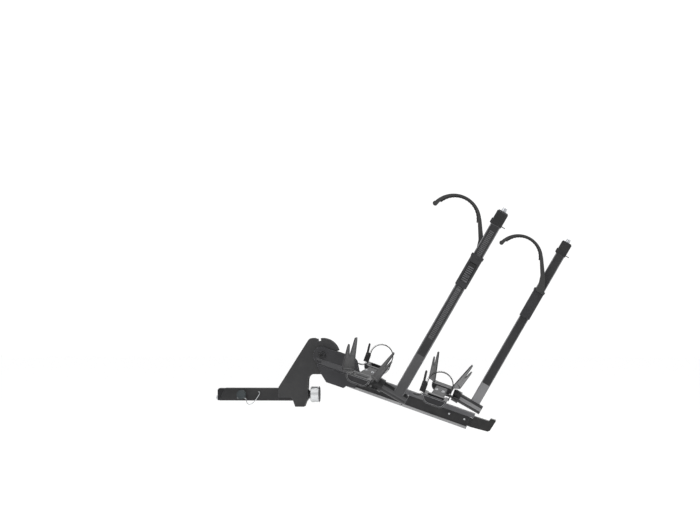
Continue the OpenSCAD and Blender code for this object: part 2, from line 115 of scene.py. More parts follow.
class Wiring:
    """Adds and links the nodes of one tree, laid out from left to right."""

    def __init__(self, tree: bpy.types.NodeTree) -> None:
        """Starts on an empty tree."""
        self.tree = tree
        self.tree.nodes.clear()

    def add(self, kind: str, inputs: dict | None = None, **settings: object) -> bpy.types.Node:
        """Adds a node.

        Args:
            kind: the node's type name.
            inputs: socket name or number to a plain value or to an output to link.
            settings: the node's own properties.

        Returns:
            The new node.
        """
        node = self.tree.nodes.new(kind)
        node.location = (180 * len(self.tree.nodes), 0)
        for key, value in settings.items():
            setattr(node, key, value)
        for key, value in (inputs or {}).items():
            if isinstance(value, bpy.types.NodeSocket):
                self.tree.links.new(value, node.inputs[key])
            else:
                node.inputs[key].default_value = value
        return node

    def maths(self, operation: str, *values: object) -> bpy.types.NodeSocket:
        """Adds a Math node and returns its result."""
        node = self.add("ShaderNodeMath", dict(enumerate(values)), operation=operation)
        return node.outputs[0]

    def ramp(self, value: bpy.types.NodeSocket, low: float, high: float,
             to_low: float = 0.0, to_high: float = 1.0) -> bpy.types.NodeSocket:
        """Maps a value's range onto another, clamped."""
        node = self.add("ShaderNodeMapRange", {
            "Value": value, "From Min": low, "From Max": high,
            "To Min": to_low, "To Max": to_high})
        return node.outputs["Result"]

    def blend(self, share: bpy.types.NodeSocket, first: object, second: object
              ) -> bpy.types.NodeSocket:
        """Mixes two colours by a share."""
        node = self.add("ShaderNodeMix", data_type="RGBA")
        self.tree.links.new(share, node.inputs["Factor"])
        for socket, value in ((node.inputs[6], first), (node.inputs[7], second)):
            if isinstance(value, bpy.types.NodeSocket):
                self.tree.links.new(value, socket)
            else:
                socket.default_value = value
        return node.outputs[2]


def rgba(colour: Colour) -> tuple[float, float, float, float]:
    """Adds a full alpha to a colour."""
    return (*colour, 1.0)


class Effect(Enum):
    """The shared effects, each a node group that is built once."""

    GRAIN = "surface_grain"
    # Pale edges: partly rub wear, partly a painted highlight standing in for light on the edges.
    WEAR = "edge_wear"
    DUST = "dust_film"
    STREAK = "drawn_streaks"


def group_shell(name: str, inputs: dict[str, str], outputs: Sequence[str]
                ) -> tuple[Wiring, bpy.types.Node]:
    """Makes an empty group with named sockets.

    Args:
        name: the group's name.
        inputs: socket name to socket type.
        outputs: names of the value outputs.

    Returns:
        The wiring of the group and its input node.
    """
    tree = bpy.data.node_groups.new(name, "ShaderNodeTree")
    wires = Wiring(tree)
    for label, kind in inputs.items():
        tree.interface.new_socket(name=label, in_out="INPUT", socket_type=kind)
    for label in outputs:
        tree.interface.new_socket(name=label, in_out="OUTPUT", socket_type="NodeSocketFloat")
    return wires, wires.add("NodeGroupInput")


def build_grain() -> bpy.types.NodeTree:
    """Builds the fine pebbled grain of powder coat and moulded plastic."""
    wires, given = group_shell(Effect.GRAIN.value, {
        "Vector": "NodeSocketVector", "Scale": "NodeSocketFloat"}, ["Height", "Drift"])
    fine = wires.add("ShaderNodeTexNoise", {
        "Vector": given.outputs["Vector"], "Scale": given.outputs["Scale"],
        "Detail": 3.0, "Roughness": 0.6})
    cells = wires.add("ShaderNodeTexVoronoi", {
        "Vector": given.outputs["Vector"], "Scale": given.outputs["Scale"]})
    height = wires.maths("MULTIPLY_ADD", cells.outputs["Distance"], 0.6, fine.outputs["Fac"])
    slow = wires.add("ShaderNodeTexNoise", {
        "Vector": given.outputs["Vector"], "Scale": 9.0, "Detail": 4.0})
    drift = wires.ramp(slow.outputs["Fac"], 0.35, 0.68)
    wires.add("NodeGroupOutput", {"Height": height, "Drift": drift})
    return wires.tree


def build_wear_and_highlight() -> bpy.types.NodeTree:
    """Builds the broken pale line along edges: partly rub wear, partly a painted highlight."""
    wires, given = group_shell(Effect.WEAR.value, {
        "Vector": "NodeSocketVector", "Edge": "NodeSocketFloat",
        "Amount": "NodeSocketFloat"}, ["Mask"])
    patches = wires.add("ShaderNodeTexNoise", {
        "Vector": given.outputs["Vector"], "Scale": 38.0, "Detail": 5.0, "Roughness": 0.65})
    broken = wires.ramp(patches.outputs["Fac"], 0.30, 0.62, 0.35, 1.0)
    mask = wires.maths("MULTIPLY", wires.maths("MULTIPLY", broken, given.outputs["Edge"]),
                       given.outputs["Amount"])
    wires.add("NodeGroupOutput", {"Mask": mask})
    return wires.tree


def build_dust() -> bpy.types.NodeTree:
    """Builds the thin film of road dust in soft patches."""
    wires, given = group_shell(Effect.DUST.value, {
        "Vector": "NodeSocketVector", "Amount": "NodeSocketFloat"}, ["Film"])
    cloud = wires.add("ShaderNodeTexNoise", {
        "Vector": given.outputs["Vector"], "Scale": 14.0, "Detail": 6.0, "Roughness": 0.7})
    speck = wires.add("ShaderNodeTexNoise", {
        "Vector": given.outputs["Vector"], "Scale": 420.0, "Detail": 2.0})
    film = wires.maths("MULTIPLY", wires.ramp(cloud.outputs["Fac"], 0.42, 0.78),
                       wires.ramp(speck.outputs["Fac"], 0.38, 0.72, 0.4, 1.0))
    film = wires.maths("MULTIPLY", film, given.outputs["Amount"])
    wires.add("NodeGroupOutput", {"Film": film})
    return wires.tree


def build_streak() -> bpy.types.NodeTree:
    """Builds the fine parallel lines of drawn, turned or brushed metal."""
    wires, given = group_shell(Effect.STREAK.value, {
        "Vector": "NodeSocketVector", "Scale": "NodeSocketFloat"}, ["Line"])
    lines = wires.add("ShaderNodeTexNoise", {
        "Vector": given.outputs["Vector"], "Scale": given.outputs["Scale"],
        "Detail": 4.0, "Roughness": 0.7})
    wires.add("NodeGroupOutput", {"Line": lines.outputs["Fac"]})
    return wires.tree


BUILDERS: dict[Effect, Callable[[], bpy.types.NodeTree]] = {
    Effect.GRAIN: build_grain, Effect.WEAR: build_wear_and_highlight,
    Effect.DUST: build_dust, Effect.STREAK: build_streak}


def effect(kind: Effect) -> bpy.types.NodeTree:
    """Returns a shared effect's group, building it on first use."""
    return bpy.data.node_groups.get(kind.value) or BUILDERS[kind]()


# Finishes ------------------------------------------------------------------------------------


class Lay(Enum):
    """The way a metal's fine lines run, as the turn and stretch of their pattern."""

    SPINE = ((0.0, SPINE_SLOPE, 0.0), (0.03, 1.0, 1.0))
    ARM = ((0.0, LEVEL_SLOPE, 0.0), (1.0, 1.0, 0.03))
    CROSS = ((0.0, 0.0, 0.0), (1.0, 0.03, 1.0))
    SHANK = ((0.0, 0.0, 0.0), (0.03, 1.0, 1.0))


@dataclass(frozen=True)
class Finish:
    """One finish: its colours, its gloss and how strongly each shared effect shows."""

    name: str
    colour: Colour
    drift: Colour
    edge: Colour
    roughness: float
    metallic: float = 0.0
    coat: float = 0.0
    specular: float = 0.34
    grain_scale: float = 700.0
    grain_depth: float = 0.00012
    # Strength of the pale edge colour: rub wear and a painted highlight along edges.
    wear: float = 0.6
    dust: float = 0.12
    dust_colour: Colour = (0.16, 0.155, 0.145)
    pale: Colour | None = None
    lay: Lay | None = None
    streak_scale: float = 900.0

    def material(self) -> bpy.types.Material:
        """Returns the finish's material, building it on first use."""
        return bpy.data.materials.get(self.name) or self.build()

    def coords(self, wires: Wiring) -> bpy.types.NodeSocket:
        """Returns the pattern's coordinates, in metres on the piece."""
        return wires.add("ShaderNodeTexCoord").outputs["Object"]

    def streaked(self, wires: Wiring, coords: bpy.types.NodeSocket) -> bpy.types.NodeSocket:
        """Returns the height of the fine lines along the finish's lay."""
        turn, stretch = self.lay.value
        turned = wires.add("ShaderNodeMapping", {
            "Vector": coords, "Rotation": (turn[0], -turn[1], turn[2])})
        drawn = wires.add("ShaderNodeMapping", {
            "Vector": turned.outputs["Vector"], "Scale": stretch})
        lines = wires.add("ShaderNodeGroup", {}, node_tree=effect(Effect.STREAK))
        wires.tree.links.new(drawn.outputs["Vector"], lines.inputs["Vector"])
        lines.inputs["Scale"].default_value = self.streak_scale
        return lines.outputs["Line"]

    def grouped(self, wires: Wiring, kind: Effect, inputs: dict) -> bpy.types.Node:
        """Places a shared effect with its own values."""
        node = wires.add("ShaderNodeGroup", {}, node_tree=effect(kind))
        for key, value in inputs.items():
            if isinstance(value, bpy.types.NodeSocket):
                wires.tree.links.new(value, node.inputs[key])
            else:
                node.inputs[key].default_value = value
        return node

    def build(self) -> bpy.types.Material:
        """Builds the node material of the finish.

        Returns:
            The material, whose colour, roughness and height vary over the surface.
        """
        material = bpy.data.materials.new(self.name)
        material.use_nodes = True
        wires = Wiring(material.node_tree)
        coords = self.coords(wires)
        grain = self.grouped(wires, Effect.GRAIN, {"Vector": coords, "Scale": self.grain_scale})
        edge = wires.add("ShaderNodeAttribute", attribute_name="edge_wear")
        wear = self.grouped(wires, Effect.WEAR, {
            "Vector": coords, "Edge": edge.outputs["Fac"], "Amount": self.wear})
        dust = self.grouped(wires, Effect.DUST, {"Vector": coords, "Amount": self.dust})
        height = grain.outputs["Height"]
        colour = wires.blend(grain.outputs["Drift"], rgba(self.colour), rgba(self.drift))
        if self.lay:
            line = self.streaked(wires, coords)
            height = wires.maths("MULTIPLY_ADD", line, 1.5, wires.maths("MULTIPLY", height, 0.3))
            shade = wires.ramp(line, 0.3, 0.7, 0.0, 0.45)
            colour = wires.blend(shade, colour, rgba(self.drift))
        if self.pale:
            patch = wires.add("ShaderNodeAttribute", attribute_name="pale_patch")
            colour = wires.blend(patch.outputs["Fac"], colour, rgba(self.pale))
        # Pale edge colour: broken rub wear and a painted highlight along rounded edges and lips.
        colour = wires.blend(wear.outputs["Mask"], colour, rgba(self.edge))
        colour = wires.blend(dust.outputs["Film"], colour, rgba(self.dust_colour))
        rough = wires.ramp(grain.outputs["Drift"], 0.0, 1.0, self.roughness - 0.05,
                           self.roughness + 0.06)
        rough = wires.maths("MULTIPLY_ADD", dust.outputs["Film"], 0.5, rough)
        rough = wires.maths("MULTIPLY_ADD", wear.outputs["Mask"], -0.08, rough)
        bump = wires.add("ShaderNodeBump", {
            "Strength": 0.6, "Distance": self.grain_depth, "Height": height})
        shader = wires.add("ShaderNodeBsdfPrincipled", {
            "Base Color": colour, "Roughness": rough, "Metallic": self.metallic,
            "Normal": bump.outputs["Normal"], "Coat Weight": self.coat,
            "Coat Roughness": 0.12, "Specular IOR Level": self.specular})
        wires.add("ShaderNodeOutputMaterial", {"Surface": shader.outputs["BSDF"]})
        return material


# The third colour of each finish is its pale edge colour: rub wear and a painted highlight.
POWDER_NECK = Finish("powder_coat_neck", (0.021, 0.021, 0.022), (0.028, 0.028, 0.029),
                     (0.13, 0.13, 0.135), 0.46, grain_scale=620.0)
POWDER_DARK = Finish("powder_coat_dark", (0.010, 0.010, 0.011), (0.016, 0.016, 0.017),
                     (0.11, 0.11, 0.115), 0.42, grain_scale=620.0)
POWDER_HUB = Finish("powder_coat_hub", (0.015, 0.015, 0.017), (0.022, 0.022, 0.025),
                    (0.24, 0.24, 0.25), 0.36, wear=0.8)
MOULDED_COVER = Finish("moulded_cover", (0.018, 0.018, 0.020), (0.027, 0.027, 0.030),
                       (0.30, 0.30, 0.32), 0.38, grain_scale=1400.0, wear=0.95,
                       pale=(0.050, 0.050, 0.053))
MOULDED_TRAY = Finish("moulded_tray", (0.007, 0.007, 0.008), (0.013, 0.013, 0.015),
                      (0.34, 0.34, 0.35), 0.40, grain_scale=1600.0, wear=0.75)
MOULDED_WING = Finish("moulded_wing", (0.016, 0.016, 0.017), (0.026, 0.026, 0.027),
                      (0.16, 0.16, 0.17), 0.48, grain_scale=1500.0, pale=(0.024, 0.024, 0.025))
MOULDED_SMALL = Finish("moulded_small", (0.006, 0.006, 0.0065), (0.011, 0.011, 0.012),
                       (0.14, 0.14, 0.15), 0.44, grain_scale=1800.0, wear=0.8)
GLOSS_HANDLE = Finish("gloss_handle", (0.003, 0.003, 0.003), (0.006, 0.006, 0.006),
                      (0.06, 0.06, 0.06), 0.26, coat=0.15, grain_scale=1500.0,
                      grain_depth=0.00004)
ARM_PAINT = Finish("arm_paint", (0.014, 0.014, 0.015), (0.021, 0.021, 0.023),
                   (0.20, 0.20, 0.21), 0.40, lay=Lay.ARM, pale=(0.19, 0.19, 0.195),
                   grain_depth=0.00008, wear=0.9)
HOOK_PAINT = Finish("hook_paint", (0.010, 0.010, 0.011), (0.016, 0.016, 0.018),
                    (0.14, 0.14, 0.15), 0.38)
GREY_TRIM = Finish("grey_trim", (0.075, 0.075, 0.080), (0.12, 0.12, 0.125),
                   (0.34, 0.34, 0.35), 0.42, metallic=0.3, lay=Lay.SPINE)
# Bottom strip finish: a painted reflection of the white floor on the spine's underside, pale grey on a dark beam.
PAINTED_FLOOR_REFLECTION = Finish("painted_floor_reflection", (0.24, 0.24, 0.245), (0.32, 0.32, 0.325),
                   (0.50, 0.50, 0.51), 0.40, metallic=0.4, lay=Lay.SPINE)
CROSS_PAINT = Finish("cross_paint", (0.010, 0.010, 0.011), (0.015, 0.015, 0.016),
                     (0.12, 0.12, 0.13), 0.55, specular=0.22, lay=Lay.CROSS,
                     grain_depth=0.00008)
STRAP_NYLON = Finish("strap_nylon", (0.006, 0.006, 0.0065), (0.011, 0.011, 0.012),
                     (0.07, 0.07, 0.07), 0.42, grain_scale=900.0)
SOFT_RUBBER = Finish("soft_rubber", (0.006, 0.006, 0.006), (0.010, 0.010, 0.010),
                     (0.03, 0.03, 0.03), 0.78, grain_scale=1100.0, grain_depth=0.0002)
ZINC_PLATE = Finish("zinc_plate", (0.50, 0.51, 0.52), (0.40, 0.41, 0.43),
                    (0.70, 0.71, 0.72), 0.30, metallic=1.0, grain_depth=0.00003, dust=0.08)
BRIGHT_WIRE = Finish("bright_wire", (0.52, 0.53, 0.54), (0.42, 0.43, 0.44),
                     (0.7, 0.7, 0.7), 0.22, metallic=1.0, grain_depth=0.00002, dust=0.04)
BLACK_OXIDE = Finish("black_oxide", (0.012, 0.012, 0.013), (0.022, 0.022, 0.024),
                     (0.16, 0.16, 0.17), 0.38, metallic=0.4, grain_depth=0.00005)
PIN_STEEL = Finish("pin_steel", (0.028, 0.034, 0.037), (0.045, 0.054, 0.058),
                   (0.24, 0.26, 0.27), 0.40, metallic=0.4)
KNOB_ALLOY = Finish("knob_alloy", (0.56, 0.565, 0.57), (0.46, 0.465, 0.47),
                    (0.75, 0.75, 0.76), 0.32, metallic=0.85, lay=Lay.SHANK, dust=0.05,
                    grain_depth=0.00003)
PLAIN_BRASS = Finish("plain_brass", (0.50, 0.36, 0.16), (0.42, 0.29, 0.12),
                     (0.65, 0.50, 0.26), 0.34, metallic=1.0, grain_depth=0.00003)


# Mesh building -------------------------------------------------------------------------------


class Solid:
    """A mesh under construction, made with bmesh operators in its own frame."""

    def __init__(self, place: Matrix | None = None, scale: float = MM) -> None:
        """Starts an empty mesh.

        Args:
            place: matrix from the solid's frame, in metres, to the rack.
            scale: metres in one unit of the solid's own coordinates.
        """
        self.bm = bmesh.new()
        self.place = (place or Matrix()) @ Matrix.Scale(scale, 4)
        self.scale = scale
        self.add_masks()

    def add_masks(self) -> None:
        """Adds the masks of pale edges (rub wear and painted highlight) and pale patches."""
        self.edge = self.bm.faces.layers.float.new("edge_wear")
        self.pale = self.bm.faces.layers.float.new("pale_patch")

    @classmethod
    def from_node(cls, node: str, whole: bool = True) -> "Solid":
        """Makes a merged copy of a CAD node's mesh.

        Args:
            node: the CAD node.
            whole: whether triangles that lie in one plane become one face.

        Returns:
            The copy, in metres in the rack's frame.
        """
        solid = cls(scale=1.0)
        solid.bm.free()
        solid.bm = bmesh.new()
        solid.bm.from_mesh(frame["nodes"][node].data)
        solid.add_masks()
        bmesh.ops.remove_doubles(solid.bm, verts=solid.bm.verts, dist=2e-6)
        if not whole:
            return solid
        bmesh.ops.dissolve_degenerate(solid.bm, dist=1e-6, edges=solid.bm.edges)
        bmesh.ops.dissolve_limit(
            solid.bm, angle_limit=math.radians(0.6), use_dissolve_boundaries=False,
            verts=solid.bm.verts, edges=solid.bm.edges)
        return solid

    def box(self, low: Point, high: Point, bevel: float = 0.0,
            turned: Matrix | None = None) -> None:
        """Adds a box with rounded edges.

        Args:
            low: its lowest corner, before it is turned.
            high: its highest corner, before it is turned.
            bevel: rounding of its edges.
            turned: matrix that puts the box in its place.
        """
        centre = (Vector(low) + Vector(high)) / 2
        size = Vector(high) - Vector(low)
        made = bmesh.ops.create_cube(
            self.bm, size=1.0, matrix=(turned or Matrix()) @ Matrix.Translation(centre)
            @ Matrix.Diagonal((*size, 1.0)))["verts"]
        if bevel:
            self.round_edges({e for v in made for e in v.link_edges}, bevel)

    def rod(self, start: Point, end: Point, radius: float, radius_end: float | None = None,
            sides: int = 24) -> list:
        """Adds a closed cylinder or cone between two points."""
        line = Vector(end) - Vector(start)
        turn = line.to_track_quat("Z", "Y").to_matrix().to_4x4()
        middle = Matrix.Translation((Vector(start) + Vector(end)) / 2)
        return bmesh.ops.create_cone(
            self.bm, cap_ends=True, segments=sides, radius1=radius,
            radius2=radius if radius_end is None else radius_end, depth=line.length,
            matrix=middle @ turn)["verts"]

    def round_edges(self, edges: Iterable, width: float, segments: int = 2) -> None:
        """Rounds some edges and marks the new faces with the pale edge colour: rub wear and a painted highlight.

        Args:
            edges: the edges to round.
            width: how far the rounding reaches, in the solid's units.
            segments: steps across the rounding.
        """
        made = bmesh.ops.bevel(
            self.bm, geom=list(edges), offset=width, offset_type="OFFSET", segments=segments,
            profile=0.5, affect="EDGES", clamp_overlap=True, material=-1)
        # New rounded faces take the pale edge colour: a painted highlight, partly rub wear.
        for face in made["faces"]:
            if face.is_valid:
                face[self.edge] = 1.0

    def sharp_edges(self, angle: float = 32.0) -> list:
        """Lists the outward edges sharper than an angle in degrees."""
        limit = math.radians(angle)
        return [e for e in self.bm.edges
                if len(e.link_faces) == 2 and e.is_convex and e.calc_face_angle(0.0) > limit]

    def groove(self, faces: Iterable, margin: float, depth: float) -> list:
        """Sinks or raises the inside of some faces, and returns the inner faces."""
        kept = list(faces)
        bmesh.ops.inset_region(self.bm, faces=kept, thickness=margin, depth=0.0,
                               use_even_offset=True, use_boundary=True)
        lip = bmesh.ops.inset_region(self.bm, faces=kept, thickness=abs(depth) * 0.6,
                                     depth=depth, use_even_offset=True, use_boundary=True)
        # The lip takes the pale edge colour: a painted highlight along the rim, partly rub wear.
        for face in lip["faces"]:
            face[self.edge] = 0.8
        return kept

    def facing(self, direction: Point, least_area: float) -> list:
        """Lists the large faces that face a direction, given in the solid's frame."""
        goal = Vector(direction).normalized()
        return [f for f in self.bm.faces
                if f.normal.dot(goal) > 0.985 and f.calc_area() > least_area]

    def finish(self, name: str, node: str, finish: Finish, replaced: Sequence[str] = (),
               smooth: float = 38.0) -> bpy.types.Object:
        """Makes the mesh an object that rides with a CAD node's body.

        Args:
            name: the piece's name.
            node: CAD node that gives the body.
            finish: the piece's finish.
            replaced: CAD nodes that the piece stands for.
            smooth: faces that meet at less than this angle, in degrees, shade as one.

        Returns:
            The finished object.
        """
        bmesh.ops.transform(self.bm, matrix=self.place, verts=self.bm.verts)
        if self.place.determinant() < 0:
            bmesh.ops.reverse_faces(self.bm, faces=self.bm.faces)
        mesh = bpy.data.meshes.new(name)
        for face in self.bm.faces:
            face.smooth = True
        self.bm.to_mesh(mesh)
        self.bm.free()
        mesh.set_sharp_from_angle(angle=math.radians(smooth))
        mesh.materials.append(finish.material())
        piece = bpy.data.objects.new(name, mesh)
        bpy.context.scene.collection.objects.link(piece)
        shade = piece.modifiers.new("even_shading", "WEIGHTED_NORMAL")
        shade.keep_sharp = True
        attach(piece, BODY_OF[node])
        if replaced:
            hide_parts(*replaced)
        log.info("%-24s rides on %-10s %6d faces, %s", name, BODY_OF[node],
                 len(mesh.polygons), finish.name)
        return piece


BODY_OF = {node: body for body, members in frame["record"]["behaviour"]["bodies"].items()
           for node in members}


class SubAssembly:
    """Common work of every sub-assembly: softening CAD nodes and painting them."""

    def soften(self, node: str, finish: Finish, width: float = 0.7, segments: int = 2,
               change: Callable[[Solid], None] | None = None) -> bpy.types.Object:
        """Replaces a CAD node by its own shape with rounded edges, painted pale as rub wear and highlight.

        Args:
            node: the CAD node.
            finish: its finish.
            width: rounding of its edges, in millimetres.
            segments: steps across each rounding.
            change: further work on the merged shape before its edges are rounded.

        Returns:
            The piece that stands for the node.
        """
        solid = Solid.from_node(node)
        if change:
            change(solid)
        solid.round_edges(solid.sharp_edges(), width * MM, segments)
        return solid.finish(f"{node}_shell", node, finish, (node,))

    def paint(self, node: str, finish: Finish) -> None:
        """Gives a CAD node that stays its finish."""
        obj = frame["nodes"][node]
        obj.data.materials.clear()
        obj.data.materials.append(finish.material())
        log.info("%-24s keeps its own shape, %s", node, finish.name)


# Hitch side ----------------------------------------------------------------------------------


@dataclass
class Neck(SubAssembly):
    """Shank, neck plates, hitch pin and the tilt pivot's bolt."""

    plate_round: float = 1.4
    shank_round: float = 2.0
    weld_pitch: float = 4.6
    weld_radius: float = 2.4
    weld_inset: float = 1.2
    weld_from: float = 14.0
    weld_short: float = 12.0
    head_area: float = 4e-4
    head_lip: float = 0.003
    head_dish: float = 0.0012

    def build(self) -> None:
        """Builds and dresses every piece of the neck."""
        self.soften("shank_tube", POWDER_DARK, self.shank_round, 3)
        for node in ("neck_plate_left", "neck_plate_right"):
            self.soften(node, POWDER_NECK, self.plate_round, 3)
        self.soften("neck_web", POWDER_NECK, 1.0)
        self.soften("knob_boss", BLACK_OXIDE, 0.8)
        self.soften("pivot_bolt", BLACK_OXIDE, 1.6, 3)
        self.soften("pivot_nut", ZINC_PLATE, 0.8)
        self.paint("pivot_bushes", PLAIN_BRASS)
        self.soften("draw_bar", ZINC_PLATE, 0.6)
        self.soften("tip_wedge", BLACK_OXIDE, 0.8)
        self.build_pin()
        self.build_wire()
        self.build_welds()

    def build_pin(self) -> None:
        """Builds the hitch pin's domed, dished head over the CAD pin's shape."""
        self.soften("hitch_pin", PIN_STEEL, 1.1, 3, self.dish_head)

    def dish_head(self, solid: Solid) -> None:
        """Sinks a shallow dish into the pin's outer face."""
        solid.groove(solid.facing((0, -1, 0), self.head_area), self.head_lip, -self.head_dish)

    def build_wire(self) -> None:
        """Builds the keeper's round spring wire, smooth along its bends."""
        solid = Solid.from_node("keeper_wire", whole=False)
        piece = solid.finish("keeper_wire_round", "keeper_wire", BRIGHT_WIRE, ("keeper_wire",),
                             smooth=60.0)
        rounder = piece.modifiers.new("rounder", "SUBSURF")
        rounder.levels = 2
        rounder.render_levels = 2

    def build_welds(self) -> None:
        """Lays a rippled fillet weld where each neck plate meets the shank's top."""
        low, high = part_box("neck_web")
        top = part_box("shank_tube")[1]
        solid = Solid()
        start, stop = low.x / MM + self.weld_from, top.x / MM - self.weld_short
        beads = int((stop - start) / self.weld_pitch)
        for side in (-1, 1):
            for bead in range(beads):
                x = start + bead * self.weld_pitch
                turn = Matrix.Translation(
                    (x, side * (high.y / MM - self.weld_inset), top.z / MM))
                bmesh.ops.create_uvsphere(
                    solid.bm, u_segments=10, v_segments=6, radius=self.weld_radius,
                    matrix=turn @ Matrix.Diagonal((1.5, 1.0, 0.7, 1.0)))
        solid.finish("neck_weld_beads", "neck_web", POWDER_NECK)


@dataclass
class Knob(SubAssembly):
    """The tightening knob: a diamond-knurled grip between a shoulder and a black cap."""

    turns: int = 72
    rows: int = 14
    knurl_depth: float = 1.3
    shoulder: float = 3.2
    foot_radius: float = 17.0
    bore_radius: float = 9.0
    foot_step: float = 4.0
    shoulder_step: float = 2.2
    chamfer: float = 1.2

    def build(self) -> None:
        """Builds the knurled grip and the capped end."""
        low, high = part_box("knob_grip")
        start, stop = low.x / MM, high.x / MM
        radius = (high.z - low.z) / 2 / MM - 0.15
        solid = Solid()
        neck = radius - self.shoulder_step
        profile = [(start, self.foot_radius), (start, radius - self.foot_step),
                   (start + self.chamfer, neck), (start + self.shoulder, neck)]
        span = stop - start - 2 * self.shoulder
        profile += [(start + self.shoulder + span * i / self.rows, radius)
                    for i in range(self.rows + 1)]
        profile += [(stop - self.shoulder, neck), (stop, neck), (stop, self.bore_radius)]
        line = [solid.bm.verts.new((x, 0.0, r)) for x, r in profile]
        edges = [solid.bm.edges.new(pair) for pair in zip(line, line[1:])]
        bmesh.ops.spin(solid.bm, geom=line + edges, cent=(0, 0, 0), axis=(1, 0, 0),
                       angle=math.tau, steps=self.turns, use_merge=True)
        pitch = span / self.rows
        for vert in solid.bm.verts:
            reach = math.hypot(vert.co.y, vert.co.z)
            if reach > radius - 0.1:
                row = round((vert.co.x - start - self.shoulder) / pitch)
                column = round(math.atan2(vert.co.z, vert.co.y) / math.tau * self.turns)
                if (row + column) % 2:
                    vert.co.yz = vert.co.yz * ((reach - self.knurl_depth) / reach)
        bmesh.ops.recalc_face_normals(solid.bm, faces=solid.bm.faces)
        solid.finish("knob_knurled", "knob_grip", KNOB_ALLOY, ("knob_grip",), smooth=18.0)
        self.soften("knob_cap", MOULDED_SMALL, 0.9, 3)


# Spine ---------------------------------------------------------------------------------------


@dataclass
class Spine(SubAssembly):
    """Beam, hub, covers, screws and the release gear on the spine."""

    cover_round: float = 1.9
    band_area: float = 2e-4
    band_least: float = 0.3
    band_depth: float = 3.0
    screw_radius: float = 4.0
    screw_spots: tuple = ((150.0, -40.0), (118.0, 24.0), (60.0, -84.0))
    cover_top: float = -16.0
    rib_runs: tuple = ((296.0, 440.0), (545.0, 650.0))

    def build(self) -> None:
        """Builds and dresses every piece of the spine."""
        self.soften("spine_beam", POWDER_DARK, 1.2)
        for side in ("left", "right"):
            self.soften(f"hub_plate_{side}", POWDER_HUB, 1.0)
            self.soften(f"hub_cover_{side}", MOULDED_COVER, self.cover_round, 3,
                        self.mark_recess)
        self.soften("keel_pan", MOULDED_COVER, 1.2)
        self.soften("top_cover_front", GREY_TRIM, 0.8)
        self.soften("top_cover_rear", GREY_TRIM, 0.8)
        # The bottom strip carries a painted reflection: the floor's light on the spine's underside, as pale grey.
        self.soften("bottom_strip", PAINTED_FLOOR_REFLECTION, 0.7)
        self.soften("riser_block", POWDER_DARK, 1.4)
        self.soften("tray_bolts", ZINC_PLATE, 0.5)
        self.soften("side_screws", ZINC_PLATE, 0.5)
        self.soften("tilt_handle", GLOSS_HANDLE, 2.4, 4)
        self.soften("lock_bar", ZINC_PLATE, 0.6)
        self.paint("pull_rod", ZINC_PLATE)
        self.paint("release_spring", BRIGHT_WIRE)
        self.build_hub_screws()
        self.build_cover_ribs()

    def mark_recess(self, solid: Solid) -> None:
        """Marks the cover's sunk band, which is paler than its rim."""
        flat = [f for side in (-1, 1) for f in solid.facing((0, side, 0), self.band_area)]
        reach = max(abs(f.calc_center_median().y) for f in flat)
        for face in flat:
            sunk = (reach - abs(face.calc_center_median().y)) / MM
            if self.band_least < sunk < self.band_depth:
                face[solid.pale] = 1.0

    def build_hub_screws(self) -> None:
        """Adds the cheek covers' small countersunk screws."""
        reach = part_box("hub_cover_left")[0].y / MM
        solid = Solid(SPINE_FRAME)
        for side in (-1, 1):
            face = side * abs(reach)
            for x, z in self.screw_spots:
                rim = solid.rod((x, face - side * 3.0, z), (x, face - side * 0.2, z),
                                self.screw_radius, sides=20)
                head = max({f for v in rim for f in v.link_faces},
                           key=lambda f: side * f.calc_center_median().y)
                solid.groove([head], 1.4, -1.2)
        solid.finish("hub_screws", "side_screws", BLACK_OXIDE)

    def build_cover_ribs(self) -> None:
        """Adds the fine ribs along the top covers."""
        solid = Solid(SPINE_FRAME)
        top = self.cover_top
        for start, stop in self.rib_runs:
            for y in range(-18, 19, 6):
                solid.box((start, y - 1.0, top - 1.0), (stop, y + 1.0, top + 0.8), 0.4)
        solid.finish("cover_ribs", "top_cover_front", GREY_TRIM)


# Trays ---------------------------------------------------------------------------------------


